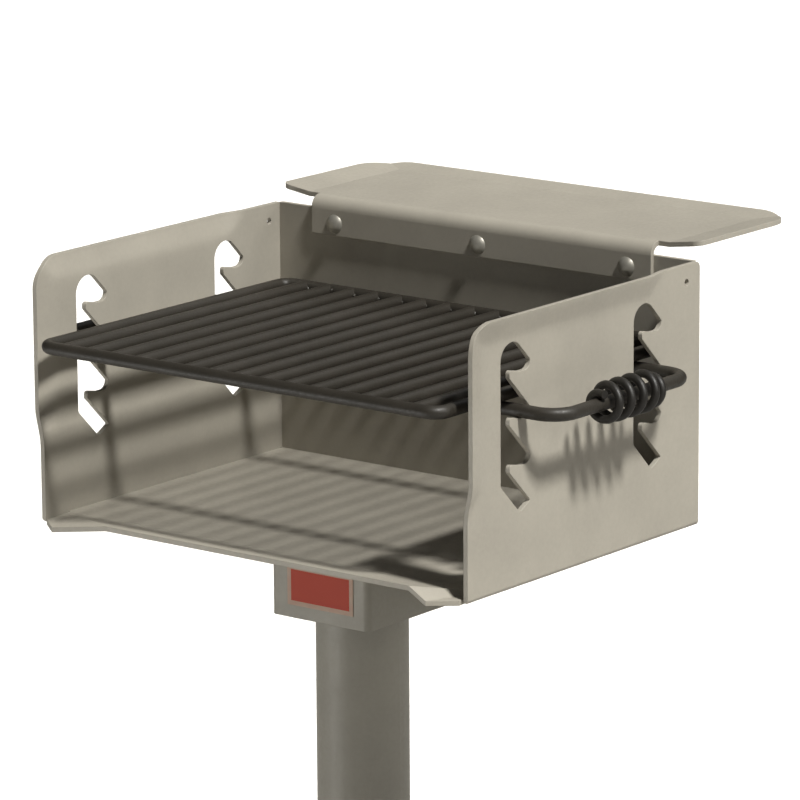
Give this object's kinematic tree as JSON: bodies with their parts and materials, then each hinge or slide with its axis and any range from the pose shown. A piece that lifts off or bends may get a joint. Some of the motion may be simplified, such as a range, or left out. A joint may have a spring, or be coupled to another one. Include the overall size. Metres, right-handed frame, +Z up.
{
  "type": "park barbecue grill",
  "caption": "Swivelling steel firebox on a post, with a lift-out cooking grate held in notched side slots, coiled handle grips and a rear utility shelf.",
  "frame": {"origin": "middle of the base plate's underside, on the post's axis", "axes": "+Z up along the post, +Y to the back of the grill where the shelf is, +X to its right-hand side"},
  "size_m": [0.632, 0.5505, 1.035],
  "materials": {
    "firebox_paint": "satin heat-resistant grey",
    "grate_steel": "satin charcoal",
    "grip_wire": "satin charcoal",
    "post_paint": "satin grey",
    "zinc": "zinc plated",
    "red_enamel": "satin red enamel with a pale border"
  },
  "bodies": {
    "pedestal": {"base_plate": "post_paint", "post": "post_paint", "post_cap": "post_paint", "thrust_washer": "zinc", "swivel_bolt": "zinc", "swivel_nut": "zinc"},
    "firebox": {"floor_panel": "firebox_paint", "back_panel": "firebox_paint", "left_side_panel": "firebox_paint", "right_side_panel": "firebox_paint", "utility_shelf": "firebox_paint", "swivel_bracket": "post_paint", "saddle_plate": "post_paint", "red_plate": "red_enamel", "shelf_bolt_left": "zinc", "shelf_bolt_middle": "zinc", "shelf_bolt_right": "zinc", "shelf_washer_left": "zinc", "shelf_washer_middle": "zinc", "shelf_washer_right": "zinc", "shelf_nut_left": "zinc", "shelf_nut_middle": "zinc", "shelf_nut_right": "zinc"},
    "grate": {"grate_frame": "grate_steel", "grate_bar_01": "grate_steel", "grate_bar_02": "grate_steel", "grate_bar_03": "grate_steel", "grate_bar_04": "grate_steel", "grate_bar_05": "grate_steel", "grate_bar_06": "grate_steel", "grate_bar_07": "grate_steel", "grate_bar_08": "grate_steel", "grate_bar_09": "grate_steel", "grate_bar_10": "grate_steel", "grate_bar_11": "grate_steel", "grate_bar_12": "grate_steel", "grate_bar_13": "grate_steel", "grate_bar_14": "grate_steel", "grate_bar_15": "grate_steel", "front_crossbar": "grate_steel", "back_crossbar": "grate_steel", "left_handle": "grate_steel", "right_handle": "grate_steel"},
    "left_grip": {"left_spring_grip": "grip_wire"},
    "right_grip": {"right_spring_grip": "grip_wire"}
  },
  "joints": [
    {"name": "firebox_turn", "type": "hinge", "parent": "pedestal", "child": "firebox", "pos_m": [0, 0, 0.733], "axis": [0, 0, 1], "continuous": true},
    {"name": "grate_lift", "type": "slide", "parent": "firebox", "child": "grate", "axis": [0, -0.7071, 0.7071], "range_m": [0, 0.033]},
    {"name": "left_grip_turn", "type": "hinge", "parent": "grate", "child": "left_grip", "pos_m": [-0.296, 0.02, 0.92555], "axis": [0, 1, 0], "continuous": true},
    {"name": "right_grip_turn", "type": "hinge", "parent": "grate", "child": "right_grip", "pos_m": [0.296, 0.02, 0.92555], "axis": [0, 1, 0], "continuous": true}
  ]
}
